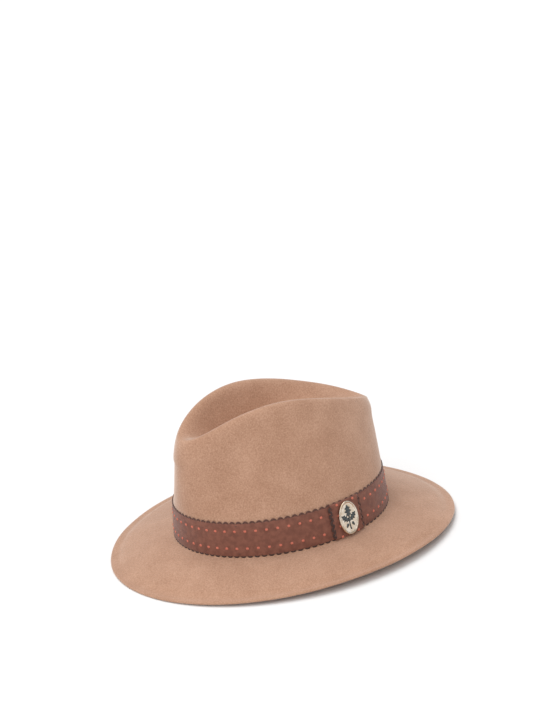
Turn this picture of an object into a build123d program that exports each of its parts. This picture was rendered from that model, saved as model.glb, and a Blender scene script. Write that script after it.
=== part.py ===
from build123d import *
import os
from math import cos, exp, hypot, pi, radians, sin

os.makedirs("parts", exist_ok=True)

# Fedora hat in millimetres. The hat stands level on the front and back of its brim, at z = 0.
# y runs from the front (-) to the back (+), and +x is the wearer's left.
# A turn is an angle about z: 0 at the front, 90 degrees on the wearer's left, 180 at the back.
# A height is measured from the crown's foot, and out is a distance outwards from the felt's outer side.

# Felt body
FELT = 2.2
FOOT = 18.0                                                 # where the crown leaves the brim
FOOT_LENGTH, FOOT_WIDTH = 102.2, 85.9                       # half-axes of the crown's foot
LEAN_LENGTH, LEAN_WIDTH = 0.05, 0.177                       # lean inwards for each millimetre of height
BRIM_LENGTH, BRIM_WIDTH = 164.2, 143.3                      # half-axes of the brim's edge
EDGE_FRONT, EDGE_SIDE, EDGE_BACK = FELT, FELT + 6.8, FELT   # height of the brim edge's upper corner
EDGE_QUARTER_LIFT = 0.9                                     # the rear quarters ride higher
BRIM_DOME = 0.35                                            # how far the brim bows up between edge and foot
FILLET = 2.5                                                # radius between the brim and the crown

# Crest, the closed ridge around the crease on top of the crown, and the shoulder just outside it
CREST_LENGTH, CREST_WIDTH, CREST_SHIFT = 94.0, 37.0, 5.0
CREST_FRONT, CREST_SIDE, CREST_BACK = 119.0, 139.2, 107.0
CREST_FORWARD = 5.0                                         # rise ahead of the sides, fall behind them
SHOULDER_OUT_FRONT, SHOULDER_OUT_SIDE, SHOULDER_OUT_BACK = 8.5, 9.0, 3.5
SHOULDER_DROP_FRONT, SHOULDER_DROP_SIDE, SHOULDER_DROP_BACK = 14.0, 7.0, 6.0
BULGE_FRONT, BULGE_SIDE, BULGE_BACK = 0.5, 3.0, 0.0

# Front pinch, pressed in on both sides of the front
PINCH_TURN, PINCH_SPREAD, PINCH_DEPTH = radians(40), radians(20), 3.0

# Crease
CREASE_CENTRE, CREASE_FLOOR, CREASE_SLOPE, CREASE_RING = -12.0, 104.0, 0.12, 2.5

# Ribbon, its keeper and the badge
CLEARANCE = 0.1                                             # between pieces that lie on each other
RIBBON_LOW, RIBBON_HEIGHT, RIBBON = 2.0, 30.0, 0.9
RIBBON_GAP = 1.0                                            # between the ribbon's ends, under the keeper
KEEPER_TURN = radians(101)
KEEPER_WIDTH, KEEPER_LOW, KEEPER_HEIGHT = 33.0, 1.0, 32.0
PRONG_WIDTH, PRONG, PRONG_LEG, PRONG_SPACING = 2.2, 0.4, 5.0, 14.0
BADGE_WIDTH, BADGE_HEIGHT, BADGE = 21.5, 31.0, 1.4
BADGE_RIM, BADGE_RIM_RISE, MOTIF_RISE = 1.8, 0.7, 0.4
THREAD = 0.25                                               # radius of the sewing thread
KEEPER_OUT = 3 * CLEARANCE + RIBBON + PRONG + RIBBON        # outer side of the keeper
RIBBON_MIDDLE = RIBBON_LOW + RIBBON_HEIGHT / 2
TACK_LENGTH, TACK_EDGE = 2.0, 2.5

# Sweatband
LEATHER, LEATHER_LOW, LEATHER_HEIGHT = 1.0, 1.5, 29.0
REED, TAPE, TAPE_HEIGHT = 0.8, 0.3, 7.0
STITCHES, STITCH_LENGTH, STITCH_HEIGHT = 60, 3.0, 4.0
BOW_LOOP, BOW_LOOP_HEIGHT, BOW_BAND, BOW_DEPTH, BOW_TAIL = 6.0, 3.5, 0.8, 3.0, 11.0
BOW_OFF = 1.5                                               # the flat bow's distance from the curved leather
LABEL_WIDTH, LABEL_HEIGHT, LABEL, LABEL_TURN = 14.0, 20.0, 0.3, radians(205)

# Lining
LINING, LINING_LOW, LINING_TURN_IN = 0.3, 24.0, 31.5
TIP_HEIGHT, TIP_LENGTH, TIP_WIDTH = 75.0, 74.0, 40.0
PIPING = 0.6

# How far inside the felt's outer side each inner layer starts
LINING_OUT = -FELT - CLEARANCE
TAPE_OUT = -FELT - CLEARANCE
LEATHER_OUT = LINING_OUT - LINING - CLEARANCE

STEPS = 36                                                  # sampled turns in half the hat
FELT_SECTORS = (8, 12, 8, 8, 4)                             # solids around each zone of the felt


def around(turn, front, side, back):
    """Value that changes smoothly from front, by the sides, to back."""
    c = cos(turn)
    return side + (front - back) / 2 * c + ((front + back) / 2 - side) * c * c


def oval(turn, length, width, z, shift=0.0):
    """Point of an oval with half-axes length and width."""
    return Vector(width * sin(turn), shift - length * cos(turn), z)


def steps(start, end, count):
    return [start + (end - start) * i / count for i in range(count + 1)]


# ---- Felt surface ----

def edge_height(turn):
    return around(turn, EDGE_FRONT, EDGE_SIDE, EDGE_BACK) + EDGE_QUARTER_LIFT * (cos(3 * turn) - cos(turn))


def brim_point(turn, part):
    """Point of the brim's upper side, from part 0 at its edge to part 1 at the crown's foot."""
    length = BRIM_LENGTH + part * (FOOT_LENGTH + FILLET - BRIM_LENGTH)
    width = BRIM_WIDTH + part * (FOOT_WIDTH + FILLET - BRIM_WIDTH)
    rise = part + BRIM_DOME * part * (1 - part)
    start = edge_height(turn)
    return oval(turn, length, width, start + rise * (FOOT - start))


def wall_point(turn, height, out=0.0):
    """Point of the crown's straight wall."""
    length = FOOT_LENGTH - LEAN_LENGTH * height + out
    width = FOOT_WIDTH - LEAN_WIDTH * height + out
    return oval(turn, length, width, FOOT + height)


def fillet_point(turn, angle):
    """Point of the rounded corner between the brim, at angle 0, and the wall, at 90 degrees."""
    return wall_point(turn, FILLET * (1 - cos(angle)), FILLET * (1 - sin(angle)))


def crest_point(turn):
    height = around(turn, CREST_FRONT, CREST_SIDE, CREST_BACK)
    height += CREST_FORWARD * 2 * cos(turn) * abs(sin(turn)) ** 3
    return oval(turn, CREST_LENGTH, CREST_WIDTH, height, CREST_SHIFT)


def shoulder_point(turn, out, drop):
    """Point beside the crest, out and drop being shares of the shoulder's spread and of its fall."""
    outward = Vector(sin(turn) / CREST_WIDTH, -cos(turn) / CREST_LENGTH, 0).normalized()
    spread = around(turn, SHOULDER_OUT_FRONT, SHOULDER_OUT_SIDE, SHOULDER_OUT_BACK) * out
    fall = around(turn, SHOULDER_DROP_FRONT, SHOULDER_DROP_SIDE, SHOULDER_DROP_BACK) * drop
    return crest_point(turn) + outward * spread - Vector(0, 0, fall)


def upper_wall_point(turn, part):
    """Point of the wall from the ribbon's top, at part 0, to the shoulder, at part 1."""
    low = wall_point(turn, RIBBON_LOW + RIBBON_HEIGHT)
    high = shoulder_point(turn, 1.0, 1.0)
    bulge = around(turn, BULGE_FRONT, BULGE_SIDE, BULGE_BACK) * sin(pi * part)
    from_front = pi - abs(turn - pi)
    pinch = PINCH_DEPTH * exp(-((from_front - PINCH_TURN) / PINCH_SPREAD) ** 2) * sin(pi * part)
    outward = Vector(low.X, low.Y, 0).normalized()
    return low + (high - low) * part + outward * (bulge - pinch)


def crease_point(turn, scale, sink):
    """Point of the crease, its ring scaled towards the centre and sunk from the crest to the floor."""
    crest = crest_point(turn)
    x = crest.X * scale
    y = CREASE_CENTRE + (crest.Y - CREASE_CENTRE) * scale
    floor = CREASE_FLOOR + CREASE_SLOPE * (y - CREASE_CENTRE)
    return Vector(x, y, crest.Z + (floor - crest.Z) * sink)


def felt_zones(turn):
    """Points of the felt's outer side at one turn, from the brim's edge to the middle of the crease."""
    brim = [brim_point(turn, part) for part in (0.0, 0.2, 0.4, 0.6, 0.8, 0.91, 0.97, 1.0)]
    brim += [fillet_point(turn, radians(angle)) for angle in (22.5, 45)]
    band = [fillet_point(turn, radians(67.5))]
    band += [wall_point(turn, height) for height in (FILLET, 3.7, 6, 10, 16, 22, 28)]
    band.append(upper_wall_point(turn, 0.0))
    side = [upper_wall_point(turn, part) for part in (0.08, 0.2, 0.4, 0.6, 0.8, 1.0)]
    side += [shoulder_point(turn, out, drop) for out, drop in ((0.6, 0.27), (0.25, 0.03))]
    slope_shares = ((0.93, 0.05), (0.82, 0.21), (0.68, 0.5), (0.52, 0.8))
    slope = [crease_point(turn, scale, sink) for scale, sink in slope_shares]
    floor = [crease_point(turn, scale, sink) for scale, sink in ((0.36, 0.95), (0.2, 1.0))]
    floor.append(oval(turn, CREASE_RING, CREASE_RING, CREASE_FLOOR, CREASE_CENTRE))
    return brim, band, side, slope, floor


# ---- Building blocks ----

def inner_rows(rows):
    """Felt's inner side: the outer rows moved inwards, square to the surface, with a level last ring."""
    moved = []
    for before, row, after in zip([rows[-2]] + rows, rows, rows[1:] + [rows[1]]):
        line = []
        for i, point in enumerate(row):
            along = row[min(i + 1, len(row) - 1)] - row[max(i - 1, 0)]
            inward = along.cross(after[i] - before[i]).normalized()
            line.append(point + inward * FELT)
        line[-1] = Vector(line[-1].X, line[-1].Y, CREASE_FLOOR - FELT)
        moved.append(line)
    return moved


def surface(rows, guide):
    """Smooth face through a grid of points; every row takes the guide row's spacing, to avoid ripples."""
    distances = [0.0]
    for one, other in zip(guide, guide[1:]):
        distances.append(distances[-1] + (other - one).length)
    spacing = [distance / distances[-1] for distance in distances]
    wires = [Wire([Edge.make_spline(row, parameters=spacing)]) for row in rows]
    return Shell.make_loft(wires).faces()[0]


def panel(near, far, guide):
    """Thin solid between two grids of points of the same layout."""
    near_face = surface(near, guide)
    far_face = surface(far, guide)
    edge_pairs = zip(near_face.edges(), far_face.edges())
    sides = [Face.make_surface_from_curves(one, other) for one, other in edge_pairs]
    return Solid(Shell([near_face, far_face] + sides))


def wall_panel(turns, heights, out, thickness):
    """Sheet that follows the crown's wall, its outer side at out."""
    near = [[wall_point(turn, height, out) for height in heights] for turn in turns]
    far = [[wall_point(turn, height, out - thickness) for height in heights] for turn in turns]
    return panel(near, far, near[0])


def turn_width(turn, distance):
    """Angle that a distance along the wall covers at a turn."""
    return distance / hypot(FOOT_WIDTH * cos(turn), FOOT_LENGTH * sin(turn))


def wall_plane(turn, height, out):
    """Plane on the wall: x runs along it towards the back, y up it and z outwards."""
    origin = wall_point(turn, height, out)
    along = wall_point(turn + 0.01, height, out) - origin
    up = wall_point(turn, height + 1, out) - origin
    return Plane(origin=origin, x_dir=along, z_dir=along.cross(up))


def stitch(plane, length, angle):
    """Straight thread that lies on a plane, turned by an angle from its x axis."""
    thread = Cylinder(THREAD, length, rotation=(0, 90, 0))
    return plane * Rot(0, 0, angle) * Pos(0, 0, THREAD + CLEARANCE) * thread


BADGE_PLANE = wall_plane(KEEPER_TURN, RIBBON_MIDDLE, KEEPER_OUT + CLEARANCE)


# ---- Pieces ----

def felt_body():
    """Crown and brim, moulded from one piece of felt, in solids that meet face to face."""
    zones = [felt_zones(turn) for turn in steps(0, 2 * pi, 2 * STEPS)]
    outer = [[point for zone in row for point in zone] for row in zones]
    inner = inner_rows(outer)
    centre = Pos(0, CREASE_CENTRE, CREASE_FLOOR - FELT) * Cylinder(
        CREASE_RING - CLEARANCE, FELT, align=(Align.CENTER, Align.CENTER, Align.MIN)
    )
    solids = [centre]
    low = 0
    high = -1
    for zone, sectors in zip(zones[0], FELT_SECTORS):
        high += len(zone)
        guide = outer[STEPS // 2][low:high + 1]
        width = 2 * STEPS // sectors
        for start in range(0, 2 * STEPS, width):
            near = [row[low:high + 1] for row in outer[start:start + width + 1]]
            far = [row[low:high + 1] for row in inner[start:start + width + 1]]
            solids.append(panel(near, far, guide))
        low = high
    return Compound(solids)


def ribbon_band():
    """Ribbon around the crown; its ends meet under the keeper."""
    gap = turn_width(KEEPER_TURN, RIBBON_GAP)
    turns = steps(KEEPER_TURN + gap / 2, KEEPER_TURN - gap / 2 + 2 * pi, 2 * STEPS)
    heights = steps(RIBBON_LOW, RIBBON_LOW + RIBBON_HEIGHT, 3)
    return wall_panel(turns, heights, CLEARANCE + RIBBON, RIBBON)


def keeper_wrap():
    """Short upright piece of ribbon over the join, with two slots for the badge's prongs."""
    half = turn_width(KEEPER_TURN, KEEPER_WIDTH) / 2
    turns = steps(KEEPER_TURN - half, KEEPER_TURN + half, 8)
    heights = steps(KEEPER_LOW, KEEPER_LOW + KEEPER_HEIGHT, 3)
    keeper = wall_panel(turns, heights, KEEPER_OUT, RIBBON)
    slot = Box(PRONG_WIDTH + 4 * CLEARANCE, PRONG + 4 * CLEARANCE, 4 * RIBBON)
    for side in (-1, 1):
        keeper -= BADGE_PLANE * Pos(0, side * PRONG_SPACING / 2, 0) * slot
    return keeper


def badge_plate():
    """Oval plate with a raised rim."""
    plate = extrude(Ellipse(BADGE_WIDTH / 2, BADGE_HEIGHT / 2), BADGE + BADGE_RIM_RISE)
    plate = chamfer(plate.edges().group_by(Axis.Z)[-1], BADGE_RIM_RISE)
    recess = extrude(Ellipse(BADGE_WIDTH / 2 - BADGE_RIM, BADGE_HEIGHT / 2 - BADGE_RIM), BADGE_RIM_RISE)
    return BADGE_PLANE * (plate - Pos(0, 0, BADGE) * recess)


def badge_motif():
    """Raised oak sprig: a stem with three leaves and two acorns."""
    stem = Pos(0, -3) * Rectangle(0.9, 12)
    leaves = [Pos(0, 6.5) * Ellipse(2.4, 5.0)]
    for side in (-1, 1):
        leaves.append(Pos(side * 4.4, 0.5) * Rot(0, 0, -side * 50) * Ellipse(2.0, 4.4))
        leaves.append(Pos(side * 3.0, -6.0) * Rot(0, 0, -side * 50) * Ellipse(1.5, 2.6))
    sprig = stem
    for leaf in leaves:
        sprig += leaf
    return BADGE_PLANE * Pos(0, 0, BADGE) * extrude(sprig, MOTIF_RISE)


def badge_prongs():
    """Two prongs that pass through the keeper and are folded flat behind it."""
    reach = RIBBON + 2 * CLEARANCE + PRONG
    prongs = []
    for side in (-1, 1):
        shank = Pos(0, side * PRONG_SPACING / 2, -reach / 2) * Box(PRONG_WIDTH, PRONG, reach)
        foot_y = side * (PRONG_SPACING - PRONG_LEG) / 2
        foot = Pos(0, foot_y, PRONG / 2 - reach) * Box(PRONG_WIDTH, PRONG_LEG, PRONG)
        prongs.append(BADGE_PLANE * (shank + foot))
    return Compound(prongs)


def keeper_stitches():
    """Stitches along both upright edges of the keeper."""
    inset = turn_width(KEEPER_TURN, KEEPER_WIDTH / 2 - 1)
    turns = (KEEPER_TURN - inset, KEEPER_TURN + inset)
    heights = steps(KEEPER_LOW + 4, KEEPER_LOW + KEEPER_HEIGHT - 4, 5)
    planes = [wall_plane(turn, height, KEEPER_OUT) for turn in turns for height in heights]
    return Compound([stitch(plane, TACK_LENGTH, 90) for plane in planes])


def band_tacks():
    """Small tacks that hold the ribbon to the felt along its upper and lower edges."""
    turns = [KEEPER_TURN + radians(angle) for angle in (60, 120, 180, 240, 300)]
    heights = (RIBBON_LOW + TACK_EDGE, RIBBON_LOW + RIBBON_HEIGHT - TACK_EDGE)
    planes = [wall_plane(turn, height, CLEARANCE + RIBBON) for turn in turns for height in heights]
    return Compound([stitch(plane, TACK_LENGTH, 0) for plane in planes])


def sweatband():
    """Leather band inside the crown, its ends meeting at the back."""
    gap = turn_width(pi, RIBBON_GAP)
    turns = steps(gap / 2 - pi, pi - gap / 2, 2 * STEPS)
    heights = steps(LEATHER_LOW, LEATHER_LOW + LEATHER_HEIGHT, 3)
    return wall_panel(turns, heights, LEATHER_OUT, LEATHER)


def reed_tape():
    """Tape between the leather and the felt, which holds the reed."""
    gap = turn_width(pi, RIBBON_GAP)
    turns = steps(gap / 2 - pi, pi - gap / 2, 2 * STEPS)
    heights = steps(LEATHER_LOW, LEATHER_LOW + TAPE_HEIGHT, 3)
    return wall_panel(turns, heights, TAPE_OUT, TAPE)


def ring_cord(length, width, z, radius):
    """Closed oval cord."""
    path = Pos(0, 0, z) * Ellipse(width, length).wire()
    start = path @ 0
    profile = Plane(origin=start, z_dir=path % 0) * Circle(radius)
    return sweep(profile, path)


def sweatband_reed():
    """Thin plastic cord that stiffens the sweatband's lower edge."""
    out = LEATHER_OUT - LEATHER / 2
    height = LEATHER_LOW - REED - CLEARANCE
    return ring_cord(FOOT_LENGTH + out, FOOT_WIDTH + out, FOOT + height, REED)


def sweatband_stitching():
    """Row of stitches near the sweatband's lower edge, on its inner side."""
    turns = [2 * pi * (i + 0.5) / STITCHES for i in range(STITCHES)]
    out = LEATHER_OUT - LEATHER - 2 * THREAD - 2 * CLEARANCE
    planes = [wall_plane(turn, STITCH_HEIGHT, out) for turn in turns]
    return Compound([stitch(plane, STITCH_LENGTH, 0) for plane in planes])


def sweatband_bow():
    """Small bow on the sweatband's join, at the back."""
    loop = Ellipse(BOW_LOOP, BOW_LOOP_HEIGHT) - Ellipse(BOW_LOOP - BOW_BAND, BOW_LOOP_HEIGHT - BOW_BAND)
    bow = Circle(BOW_BAND * 2)
    for side in (-1, 1):
        bow += Pos(side * (BOW_LOOP + BOW_BAND), 0) * loop
        bow += Rot(0, 0, side * 25) * Pos(0, -BOW_TAIL / 2) * Rectangle(2 * BOW_BAND, BOW_TAIL)
    out = LEATHER_OUT - LEATHER - BOW_OFF
    plane = wall_plane(pi, LEATHER_LOW + LEATHER_HEIGHT / 2, out)
    return plane * Pos(0, 0, -BOW_DEPTH) * extrude(bow, BOW_DEPTH)


def size_label():
    """Blank woven label on the sweatband's inner side."""
    half = turn_width(LABEL_TURN, LABEL_WIDTH) / 2
    turns = steps(LABEL_TURN - half, LABEL_TURN + half, 4)
    heights = steps(RIBBON_MIDDLE - LABEL_HEIGHT / 2, RIBBON_MIDDLE + LABEL_HEIGHT / 2, 3)
    return wall_panel(turns, heights, LEATHER_OUT - LEATHER - CLEARANCE, LABEL)


def lining_row(turn, inset):
    """Points up the side lining: its hem follows the wall, and its top edge is the tip's oval."""
    hem = [wall_point(turn, height, LINING_OUT - inset) for height in steps(LINING_LOW, LINING_TURN_IN, 4)]
    top = oval(turn, TIP_LENGTH - inset, TIP_WIDTH - inset, FOOT + TIP_HEIGHT)
    return hem + [hem[-1] + (top - hem[-1]) * part for part in (0.1, 0.33, 0.67, 1.0)]


def lining_side():
    """Satin that runs from behind the sweatband up to the tip, with its seam at the back."""
    gap = turn_width(pi, RIBBON_GAP)
    turns = steps(gap / 2 - pi, pi - gap / 2, 2 * STEPS)
    near = [lining_row(turn, 0.0) for turn in turns]
    far = [lining_row(turn, LINING) for turn in turns]
    return panel(near, far, near[STEPS // 2])


def lining_tip():
    """Flat oval of satin at the top of the lining."""
    z = FOOT + TIP_HEIGHT + CLEARANCE
    return Pos(0, 0, z) * extrude(Ellipse(TIP_WIDTH, TIP_LENGTH), LINING)


def lining_piping():
    """Cord sewn inside the seam between the tip and the side lining."""
    inset = LINING + PIPING + 4 * CLEARANCE
    z = FOOT + TIP_HEIGHT - PIPING - CLEARANCE
    return ring_cord(TIP_LENGTH - inset, TIP_WIDTH - inset, z, PIPING)


PIECES = (
    felt_body,
    ribbon_band,
    keeper_wrap,
    keeper_stitches,
    band_tacks,
    badge_plate,
    badge_motif,
    badge_prongs,
    sweatband,
    reed_tape,
    sweatband_reed,
    sweatband_stitching,
    sweatband_bow,
    size_label,
    lining_side,
    lining_tip,
    lining_piping,
)

for piece in PIECES:
    export_step(piece(), f"parts/{piece.__name__}.step")
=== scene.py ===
from math import cos, pi, radians, sin, tan

import bmesh
import bpy
import numpy as np
from mathutils import Matrix, Vector, noise


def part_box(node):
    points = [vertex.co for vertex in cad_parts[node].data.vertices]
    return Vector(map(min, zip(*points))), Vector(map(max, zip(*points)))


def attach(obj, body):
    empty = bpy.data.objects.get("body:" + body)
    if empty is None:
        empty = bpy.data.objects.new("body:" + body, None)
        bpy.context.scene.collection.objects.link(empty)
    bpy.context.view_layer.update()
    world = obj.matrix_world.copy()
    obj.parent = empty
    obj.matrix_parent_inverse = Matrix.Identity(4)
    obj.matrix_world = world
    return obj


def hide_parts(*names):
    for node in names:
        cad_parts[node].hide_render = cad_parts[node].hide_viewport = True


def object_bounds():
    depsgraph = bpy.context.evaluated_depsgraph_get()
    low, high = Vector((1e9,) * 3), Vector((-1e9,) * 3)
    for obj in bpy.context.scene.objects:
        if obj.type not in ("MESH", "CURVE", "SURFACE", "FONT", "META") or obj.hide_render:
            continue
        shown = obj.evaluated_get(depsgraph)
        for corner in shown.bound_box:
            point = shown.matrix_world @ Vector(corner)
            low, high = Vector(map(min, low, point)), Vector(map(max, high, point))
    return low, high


# Fedora hat, in metres. It stands level on its brim: -y is its front and +x the wearer's left.
# A turn is an angle about z: 0 at the front, 90 degrees on the wearer's left, 180 at the back.
# A height is measured from the crown's foot, and out is a distance outwards from the felt's outer side.

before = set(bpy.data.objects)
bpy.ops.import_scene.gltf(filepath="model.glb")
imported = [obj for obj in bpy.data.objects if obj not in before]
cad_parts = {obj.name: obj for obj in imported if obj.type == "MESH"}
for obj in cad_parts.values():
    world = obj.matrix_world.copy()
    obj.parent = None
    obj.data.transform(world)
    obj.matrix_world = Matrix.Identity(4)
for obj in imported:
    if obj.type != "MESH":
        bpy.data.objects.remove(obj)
CAD_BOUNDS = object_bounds()
FELT_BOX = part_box("felt_body")
RIBBON_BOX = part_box("ribbon_band")
LEATHER_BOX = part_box("sweatband")
TIP_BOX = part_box("lining_tip")


def half_size(box, axis):
    return (box[1][axis] - box[0][axis]) / 2


# ---- Felt body ----
FELT = 0.0022
FILLET = 0.0025                                             # radius between the brim and the crown
RIBBON = 0.0009
RIBBON_LOW, RIBBON_HEIGHT = 0.002, RIBBON_BOX[1][2] - RIBBON_BOX[0][2]
FOOT = RIBBON_BOX[0][2] - RIBBON_LOW
LEAN_LENGTH, LEAN_WIDTH = 0.05, 0.177                       # lean inwards for each metre of height
RIBBON_TOP, RIBBON_MIDDLE = RIBBON_LOW + RIBBON_HEIGHT, RIBBON_LOW + RIBBON_HEIGHT / 2
RIBBON_OUT = 0.001                                          # outer side of the ribbon
FOOT_LENGTH = half_size(RIBBON_BOX, 1) - RIBBON_OUT + LEAN_LENGTH * RIBBON_LOW
FOOT_WIDTH = half_size(RIBBON_BOX, 0) - RIBBON_OUT + LEAN_WIDTH * RIBBON_LOW
BRIM_LENGTH, BRIM_WIDTH = half_size(FELT_BOX, 1) - FELT / 2, half_size(FELT_BOX, 0) - FELT / 2
EDGE_END, EDGE_SIDE, EDGE_QUARTER_LIFT = FELT, FELT + 0.0068, 0.0009
BRIM_DOME = 0.35
CREST_LENGTH, CREST_WIDTH, CREST_SHIFT = 0.094, 0.037, 0.005
CREST_FRONT, CREST_SIDE, CREST_BACK = 0.119, 0.1392, 0.107
CREST_FORWARD = 0.005                                       # rise ahead of the sides, fall behind them
SHOULDER_OUT = (0.0085, 0.009, 0.0035)                      # at the front, the sides and the back
SHOULDER_DROP = (0.014, 0.007, 0.006)
BULGE = (0.0005, 0.003, 0.0)
PINCH_TURN, PINCH_SPREAD, PINCH_DEPTH = radians(40), radians(20), 0.003
CREASE_CENTRE, CREASE_FLOOR, CREASE_SLOPE, CREASE_RING = -0.012, 0.104, 0.12, 0.0025
HAND_WAVE, HAND_WAVE_SIZE = 0.0005, 0.045                   # unevenness of hand-blocked felt
EDGE_LIP = (0.0, -0.0006, -0.0013, -0.0007)                 # lift of the rows nearest the brim's edge

# ---- Trim ----
CLEARANCE = 0.0001                                          # between pieces that lie on each other
THIN_CLOTH = 0.0003
JOIN_GAP = 0.001                                            # between the ends of a band
SCALLOPS, SCALLOP_REACH, SCALLOP_THREAD = 96, 0.0018, 0.0009
SCALLOP_SHARE, SCALLOP_STEPS = 0.3, 16                      # half a loop's share of the pitch; points on one
DOT_COLUMNS, DOT_ROWS = 62, (0.0072, 0.0228)                # row heights above the ribbon's lower edge
DOT_THREAD, DOT_SIZE = 0.00045, 0.0026
DOT_LIFT, DOT_SPACING, DOT_TAPER = 0.000585, 0.000765, 0.18 # the outer strands are shorter by the taper
KEEPER_TURN = radians(101)
KEEPER_WIDTH = 0.033
KEEPER_OUT = 0.0025                                         # outer side of the keeper
KEEPER_OVERLAP, KEEPER_CLOTH = 0.001, 0.0006                # reach past the ribbon's edges; thickness
KEEPER_LOOPS, KEEPER_THREAD, KEEPER_DOT_PITCH = 5, 0.0011, 0.00964
PICOT_INSET, PICOT_SINK, PICOT_DEPTH = 0.0008, 0.0004, 0.0006
# The keeper's folds, as points of (distance in from its edge, out)
LOWER_FOLD = ((0.0016, 0.0004), (0.0003, 0.0008), (0.0, 0.0016), (0.0008, 0.0024), (0.003, KEEPER_OUT))
UPPER_FOLD = ((0.003, KEEPER_OUT), (0.0008, 0.0024), (0.0, 0.0016), (0.0002, 0.0008), (0.0014, 0.0004))

# ---- Badge: x towards the hat's back, y up and a rise out of its face ----
BADGE_WIDTH, BADGE_HEIGHT = 0.0215, 0.031
BADGE_RIM, BADGE_FIELD, BADGE_DOME = 0.0018, 0.0014, 0.0003
# The rim, as points of (inset from the outline, rise)
RIM_OUTSIDE = ((0.0003, 0.0), (0.0, 0.0003), (0.0, 0.0012), (0.0003, 0.0018))
RIM_INSIDE = ((0.0008, 0.0021), (0.0011, 0.0021), (0.0015, 0.0019), (BADGE_RIM, 0.0015))
MOTIF_BASE, LEAF_RISE = 0.0016, 0.0006
LEAF_LOBES, LOBE_DEPTH = 4, 0.22
TOP_LEAF_PLACE, TOP_LEAF_SIZE = (0.0, 0.0060), (0.0120, 0.0040)
SIDE_LEAF_PLACE, SIDE_LEAF_SIZE, SIDE_LEAF_TURN = (0.0041, 0.0002), (0.0100, 0.0033), radians(50)
ACORN_PLACE, ACORN_TURN, ACORN_LENGTH = (0.0034, -0.0064), radians(30), 0.0042
ACORN_CUP, ACORN_NUT, CUP_SHARE, ACORN_RISE = 0.00135, 0.00115, 0.42, 0.6
STEM_LOW, STEM_HIGH, STEM_SWAY, STEM_RISE = -0.0105, 0.003, 0.0006, 0.0019
STEM_WIDE, STEM_THICK = 0.0004, 0.00045

# ---- Sewing ----
STITCH_RADIUS, STITCH_ARCH, STITCH_DIP = 0.00022, 1.6, 0.9  # arch and dip in radii of the thread
SHORT_STITCH = 0.002
KEEPER_SEAM_INSET, KEEPER_SEAM_END, KEEPER_SEAM_STITCHES = 0.001, 0.003, 6
TACK_EDGE, TACK_ANGLES = 0.0025, (60, 120, 180, 240, 300)   # angles from the keeper, in degrees

# ---- Inside the hat ----
LEATHER = 0.001
LEATHER_LOW, LEATHER_TOP = LEATHER_BOX[0][2] - FOOT, LEATHER_BOX[1][2] - FOOT
LEATHER_OUT = half_size(LEATHER_BOX, 1) - FOOT_LENGTH + LEAN_LENGTH * LEATHER_LOW
LEATHER_FACE = LEATHER_OUT - LEATHER
SEAM_STITCHES, SEAM_STITCH, SEAM_HEIGHT = 124, 0.0034, 0.0025
BOW_REACH, BOW_HALF_HEIGHT, BOW_DEPTH, BOW_PINCH = 0.0125, 0.0036, 0.0015, 0.3
BOW_TAIL, BOW_TAIL_SPREAD, BOW_TAIL_WAVE = 0.0105, 0.0045, 0.0006
KNOT_HALF_HEIGHT, KNOT_HALF_WIDTH = 0.0016, 0.0014
LABEL_WIDTH = 0.014
HEM_HEIGHTS = (0.0, 0.004, 0.0075)                          # rows of the lining's flat hem
GATHERS, GATHER_DEPTH, TIP_SAG = 72, 0.0005, 0.0012

# ---- Colours ----
FELT_COLOUR = (0.485, 0.276, 0.182)
FELT_DARK = (0.405, 0.220, 0.139)
FELT_LIGHT = (0.565, 0.337, 0.231)
RIBBON_COLOUR = (0.262, 0.099, 0.064)
RIBBON_DARK = (0.175, 0.062, 0.040)
# The brown thread at about half its brightness: painted shade on the ribbon's lower edge and on the keeper's
# front edge; the stitches take it too
PICOT_SHADE_COLOUR = (0.060, 0.024, 0.017)
BROWN_THREAD = (0.120, 0.046, 0.031)
CORAL = (0.80, 0.22, 0.14)
GOLD, WORN_GOLD = (0.60, 0.47, 0.34), (0.76, 0.69, 0.60)
ENAMEL, ENAMEL_LIGHT = (0.020, 0.028, 0.030), (0.06, 0.07, 0.07)
LEATHER_COLOUR = (0.25, 0.125, 0.065)
SATIN = (0.22, 0.115, 0.070)
PIPING_COLOUR = (0.32, 0.18, 0.11)
THREAD_COLOUR = (0.36, 0.22, 0.13)
REED_COLOUR = (0.42, 0.32, 0.23)
LABEL_COLOUR = (0.80, 0.76, 0.68)
RIB_PITCH, WEAVE_PITCH = 0.00085, 0.0006                    # of the ribbon's weave

# ---- Camera and stage ----
CAMERA_TURN, CAMERA_RISE, CAMERA_ROLL = radians(61.1), radians(23.1), radians(6.7)
CAMERA_DISTANCE = 2.0                                       # from the middle of the crown's foot
LENS, SENSOR = 109.0, 36.0                                  # in millimetres
AIM_TURN, AIM_RISE = radians(0.305), radians(4.0)           # how far the view passes left of and above it
FLOOR_HALF_SIZE = 6.0

# ---- Sampling ----
TURNS = 240
SAMPLES = 4                                                 # rows for each gap between stations


# ---- Small maths helpers ----

def around(turn, front, side, back):
    """Value that changes smoothly from front, by the sides, to back."""
    c = np.cos(turn)
    return side + (front - back) / 2 * c + ((front + back) / 2 - side) * c * c


def oval(turn, length, width, z, shift=0.0):
    """Points of an oval with half-axes length and width."""
    z = z + 0 * turn
    return np.stack([width * np.sin(turn), shift - length * np.cos(turn), z], axis=-1)


def unit(vectors):
    return vectors / np.linalg.norm(vectors, axis=-1, keepdims=True)


def level_outward(points):
    """Level directions away from the hat's upright axis."""
    return unit(points * (1, 1, 0))


def steps_along(points):
    return np.linalg.norm(np.diff(points, axis=0), axis=1)


def distances(points):
    """Distance of each point from the first, along the path through them."""
    return np.concatenate([[0], np.cumsum(steps_along(points))])


def full_circle(count):
    return np.linspace(0, 2 * pi, count, endpoint=False)


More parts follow.
